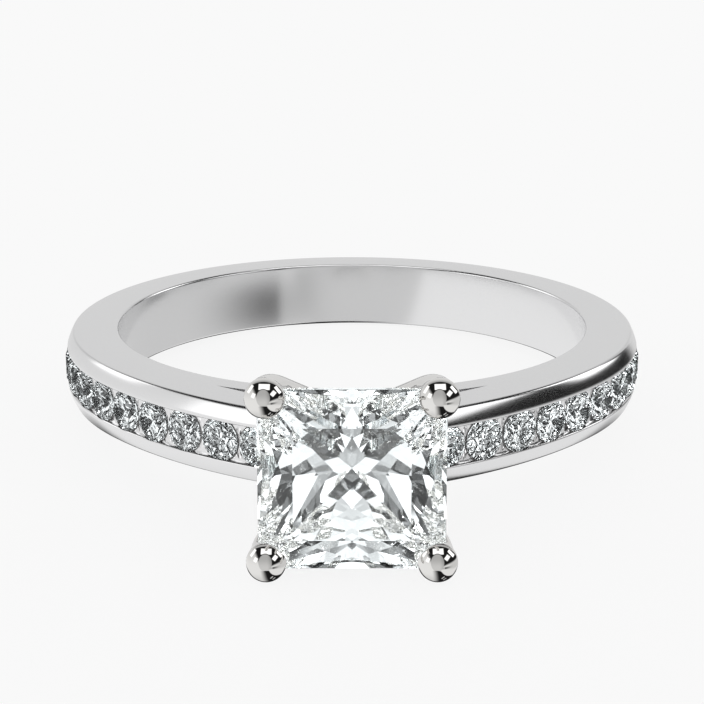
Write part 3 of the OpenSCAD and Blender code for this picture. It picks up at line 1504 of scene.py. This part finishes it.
@dataclass
class StoneRoom:
    """What the stones gather: soft light in front of the large one, contrast to both sides."""

    front_light: float = 1.19
    front_gain: float = 0.5
    upper_half: Ramp = Ramp(0.0, 0.5)
    front_shades: tuple[tuple[Oval, float], ...] = (
        (Oval(0.0, 0.0, 0.3, 0.3), 0.05),
        (Oval(0.0, 0.0, 0.2, 0.2), 0.55),
        (Oval(0.0, 0.0, 0.1, 0.1), 1.5),
        (Oval(0.0, 0.45, 0.4, 0.09), 0.06),
        (Oval(0.0, -0.45, 0.4, 0.07), 0.1),
        (Oval(0.45, 0.0, 0.09, 0.4), 0.05),
        (Oval(-0.45, 0.0, 0.09, 0.4), 0.05),
    )
    side: Ramp = Ramp(0.5, 0.08)
    side_light: float = 3.9
    right_gain: float = 5.5
    right_half: Ramp = Ramp(0.0, 0.5)
    beat_across: float = 8.0
    beat_up: float = 7.0
    beat_start: float = 1.0
    beat: Ramp = Ramp(0.3, 0.05)

    def light(self, ball: Ball) -> Value:
        """Brightness of the room.

        Args:
            ball: The mirror ball that it is laid out on.

        Returns:
            The brightness.
        """
        shader = ball.shader
        front = self.front_light + self.front_gain * ball.above(self.upper_half)
        for oval, level in self.front_shades:
            front = over(front, level, ball.in_oval(oval))
        off = abs(ball.x)
        beat = shader.math("SINE", off * self.beat_across)
        beat = beat * shader.math("SINE", ball.y * self.beat_up + self.beat_start)
        bright = self.side_light + self.right_gain * ball.right_past(self.right_half)
        side = over(0.0, bright, shader.step(beat, *self.beat))
        return over(front, side, shader.step(off, *self.side))


@dataclass
class Studio:
    """Pale floor, soft surroundings and the camera."""

    axes: RingAxes
    sensor: float = 36.0
    lens: float = 2020.5 / 704 * 36
    distance: float = 72.135
    height_deg: float = 16.157
    near_clip: float = 1 * MM
    far_clip: float = 10.0
    backdrop_light: float = 0.947
    floor_light: float = 1.0
    floor_albedo: float = 0.07
    floor_size: float = 3.0
    least_spread: float = 0.0001
    bounces: int = 32
    diffuse_bounces: int = 2
    metal_room: MirroredRoom = field(default_factory=MirroredRoom)
    stone_room: StoneRoom = field(default_factory=StoneRoom)

    def camera(self) -> None:
        """Places the camera at the photograph's angle to the ring."""
        data = bpy.data.cameras.new("camera")
        data.lens = self.lens
        data.sensor_width = self.sensor
        data.clip_start, data.clip_end = self.near_clip, self.far_clip
        made = bpy.data.objects.new("camera", data)
        bpy.context.scene.collection.objects.link(made)
        rise = math.radians(self.height_deg)
        back = self.axes.direction(Vector((0, -math.cos(rise), math.sin(rise))))
        made.location = self.axes.centre + back * self.distance * MM
        made.rotation_mode = "QUATERNION"
        made.rotation_quaternion = (-back).to_track_quat("-Z", "Y")
        bpy.context.scene.camera = made

    def floor(self) -> None:
        """Makes the pale floor, which the polished metal doesn't mirror."""
        half = self.floor_size / 2
        corners = [(-half, -half, 0), (half, -half, 0), (half, half, 0), (-half, half, 0)]
        data = bpy.data.meshes.new("floor")
        data.from_pydata(corners, [], [(0, 1, 2, 3)])
        made = mesh_object("floor", data)
        paint, shader = new_material("pale_floor")
        body = shader.node(
            "ShaderNodeBsdfPrincipled",
            {
                "Base Color": (*[self.floor_albedo] * 3, 1),
                "Roughness": 1.0,
                "Specular IOR Level": 0.0,
                "Emission Color": (1, 1, 1, 1),
                "Emission Strength": self.backdrop_light - self.floor_albedo * self.floor_light,
            },
        )
        shader.finish(body)
        data.materials.append(paint)
        made.visible_glossy = False
        made.visible_transmission = False

    def surroundings(self) -> None:
        """Builds the world: what metal mirrors, what stones gather and what lights the floor."""
        world = bpy.data.worlds.new("studio")
        bpy.context.scene.world = world
        world.use_nodes = True
        world.cycles.sampling_method = "NONE"
        shader = Shader(world.node_tree)
        ball = self._ball(shader)
        path = shader.node("ShaderNodeLightPath")
        glossy, through, diffuse = (
            shader.value(path, f"Is {kind} Ray") for kind in ("Glossy", "Transmission", "Diffuse")
        )
        plain = self.backdrop_light + diffuse * (self.floor_light - self.backdrop_light)
        level = over(plain, self.metal_room.light(ball), glossy)
        level = over(level, self.stone_room.light(ball), through)
        back = shader.node("ShaderNodeBackground", {"Color": (1, 1, 1, 1), "Strength": level})
        shader.finish(back, "ShaderNodeOutputWorld")

    def _ball(self, shader: Shader) -> Ball:
        """Where a mirror ball in front of the camera shows each direction.

        Args:
            shader: The world's tree.

        Returns:
            The ball, with its middle at 0, 0 and a radius of 1.
        """
        coords = shader.node("ShaderNodeTexCoord").outputs["Generated"]
        facing = self.axes.tilt + math.radians(self.height_deg) - math.pi / 2
        spun = shader.node(
            "ShaderNodeVectorRotate", {"Vector": coords, "Angle": facing}, rotation_type="X_AXIS"
        )
        parts = shader.node("ShaderNodeSeparateXYZ", {0: spun.outputs[0]})
        right, up, near = (shader.value(parts, k) for k in range(3))
        spread = shader.root(2 + 2 * near, self.least_spread)
        return Ball(shader, right / spread, up / spread)

    def light_paths(self) -> None:
        """Gives light enough bounces inside the stones."""
        cycles = bpy.context.scene.cycles
        cycles.max_bounces = self.bounces
        cycles.transmission_bounces = self.bounces
        cycles.glossy_bounces = self.bounces
        cycles.diffuse_bounces = self.diffuse_bounces
        bpy.context.scene.view_settings.view_transform = "Standard"


def dress_stones(main: Material, small: Material) -> int:
    """Gives the stones their materials.

    Args:
        main: Material of the square stone.
        small: Material of the channel stones.

    Returns:
        How many stones were dressed.
    """
    count = 0
    for name, node in frame["nodes"].items():
        if "stone" not in name:
            continue
        square = name == "main_stone"
        node.data.materials.clear()
        node.data.materials.append(main if square else small)
        count += 1
    return count


def main() -> None:
    """Builds every piece around the frame and reports each."""
    logging.basicConfig(level=logging.INFO, format="%(name)s: %(message)s")
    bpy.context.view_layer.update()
    axes = RingAxes.from_record(frame["record"])
    studio = Studio(axes)
    studio.camera()
    studio.floor()
    studio.surroundings()
    studio.light_paths()
    band = Band(axes).build(POLISHED.material(), DRILLED_AND_SHADED.material())
    pieces = [band, *ClawHead(axes).build(MIRROR.material())]
    for piece in pieces:
        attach(piece, WHOLE_BODY)
        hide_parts("band_with_claws")
        LOG.info("%s: %d faces", piece.name, len(piece.data.polygons))
    count = dress_stones(CLEAR.material(), SMALL.material())
    LOG.info("stones dressed: %d", count)
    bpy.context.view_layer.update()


if __name__ == "__main__":
    main()
